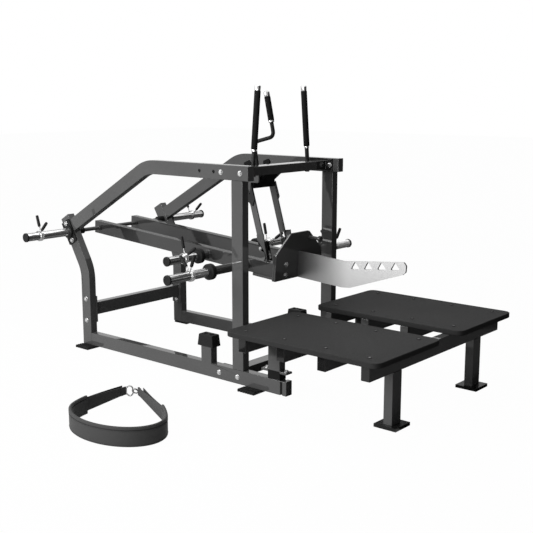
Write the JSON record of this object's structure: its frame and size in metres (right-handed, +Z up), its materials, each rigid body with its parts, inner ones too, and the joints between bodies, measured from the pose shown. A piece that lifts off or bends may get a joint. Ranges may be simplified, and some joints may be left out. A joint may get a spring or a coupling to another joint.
{
  "type": "belt_squat_machine",
  "caption": "Belt squat machine: plate-loaded lever on a bent-tube frame, catch with pull grip, split standing platform, belt arm with hook holes, spring collars and belt",
  "frame": {"origin": "bottom centre of the bounding box, on the floor", "axes": "+X from the pivot end towards the standing platform, +Y across the machine away from the belt on the floor, +Z up"},
  "size_m": [2.6112, 2.3124, 1.6461],
  "materials": {
    "frame_paint": "gloss",
    "black_paint": "satin",
    "rubber": "matt",
    "foam": "matt foam",
    "chrome": "polished",
    "brushed_steel": "satin",
    "webbing": "woven"
  },
  "bodies": {
    "frame": {"base_cross_tube": "frame_paint", "base_tube_far": "frame_paint", "base_tube_near": "frame_paint", "bearing_housing_far": "black_paint", "bearing_housing_near": "black_paint", "bumper_block_far": "rubber", "bumper_block_near": "rubber", "catch_hanger": "black_paint", "foam_grip_far": "foam", "foam_grip_near": "foam", "foot_plate_far": "frame_paint", "foot_plate_near": "frame_paint", "front_floor_pad_far": "rubber", "front_floor_pad_near": "rubber", "front_leg_far": "frame_paint", "front_leg_near": "frame_paint", "front_platform_tube": "frame_paint", "front_upright_far": "frame_paint", "front_upright_near": "frame_paint", "grip_post_far": "chrome", "grip_post_near": "chrome", "platform_frame_far": "frame_paint", "platform_frame_near": "frame_paint", "rear_cross_tube": "frame_paint", "rear_floor_pad_far": "rubber", "rear_floor_pad_near": "rubber", "rear_upright_far": "frame_paint", "rear_upright_near": "frame_paint", "storage_horn_far": "chrome", "storage_horn_near": "chrome", "storage_plate_far": "frame_paint", "storage_plate_near": "frame_paint", "top_beam": "frame_paint", "top_tube_far": "frame_paint", "top_tube_near": "frame_paint"},
    "lever": {"arm_mount_plate": "frame_paint", "belt_arm": "brushed_steel", "front_weight_horn_far": "chrome", "front_weight_horn_near": "chrome", "keeper_bracket_far": "black_paint", "keeper_bracket_near": "black_paint", "lever_carriage": "frame_paint", "lever_rail_far": "frame_paint", "lever_rail_near": "frame_paint", "lever_shaft": "brushed_steel", "rear_weight_horn_far": "chrome", "rear_weight_horn_near": "chrome"},
    "catch": {"catch_frame": "black_paint", "catch_pull": "chrome", "catch_grip": "foam"},
    "belt": {"belt_band": "webbing", "belt_ring": "chrome", "belt_snap_link": "chrome"},
    "storage_collar_near": {"storage_collar_near": "brushed_steel"},
    "storage_collar_far": {"storage_collar_far": "brushed_steel"},
    "rear_horn_collar_near": {"rear_horn_collar_near": "brushed_steel"},
    "rear_horn_collar_far": {"rear_horn_collar_far": "brushed_steel"},
    "front_horn_collar_near": {"front_horn_collar_near": "brushed_steel"},
    "front_horn_collar_far": {"front_horn_collar_far": "brushed_steel"}
  },
  "joints": [
    {"name": "lever_pivot", "type": "hinge", "parent": "frame", "child": "lever", "pos_m": [-1.21743, 0.33823, 0.73206], "axis": [0, 1, 0], "range_deg": [-2.5, 16.2]},
    {"name": "catch_hinge", "type": "hinge", "parent": "frame", "child": "catch", "pos_m": [0.02057, 0.33823, 1.118], "axis": [0, 1, 0], "range_deg": [0, 15]},
    {"name": "storage_collar_near_slide", "type": "slide", "parent": "frame", "child": "storage_collar_near", "axis": [0, -1, 0], "range_m": [-0.191, 0.079]},
    {"name": "storage_collar_far_slide", "type": "slide", "parent": "frame", "child": "storage_collar_far", "axis": [0, 1, 0], "range_m": [-0.191, 0.079]},
    {"name": "rear_horn_collar_near_slide", "type": "slide", "parent": "lever", "child": "rear_horn_collar_near", "axis": [0, -1, 0], "range_m": [-0.088, 0.112]},
    {"name": "rear_horn_collar_far_slide", "type": "slide", "parent": "lever", "child": "rear_horn_collar_far", "axis": [0, 1, 0], "range_m": [-0.088, 0.112]},
    {"name": "front_horn_collar_near_slide", "type": "slide", "parent": "lever", "child": "front_horn_collar_near", "axis": [0, -1, 0], "range_m": [-0.118, 0.145]},
    {"name": "front_horn_collar_far_slide", "type": "slide", "parent": "lever", "child": "front_horn_collar_far", "axis": [0, 1, 0], "range_m": [-0.118, 0.145]},
    {"name": "belt_lift", "type": "slide", "parent": "frame", "child": "belt", "axis": [0, 0, 1], "range_m": [0, 0.3]}
  ]
}
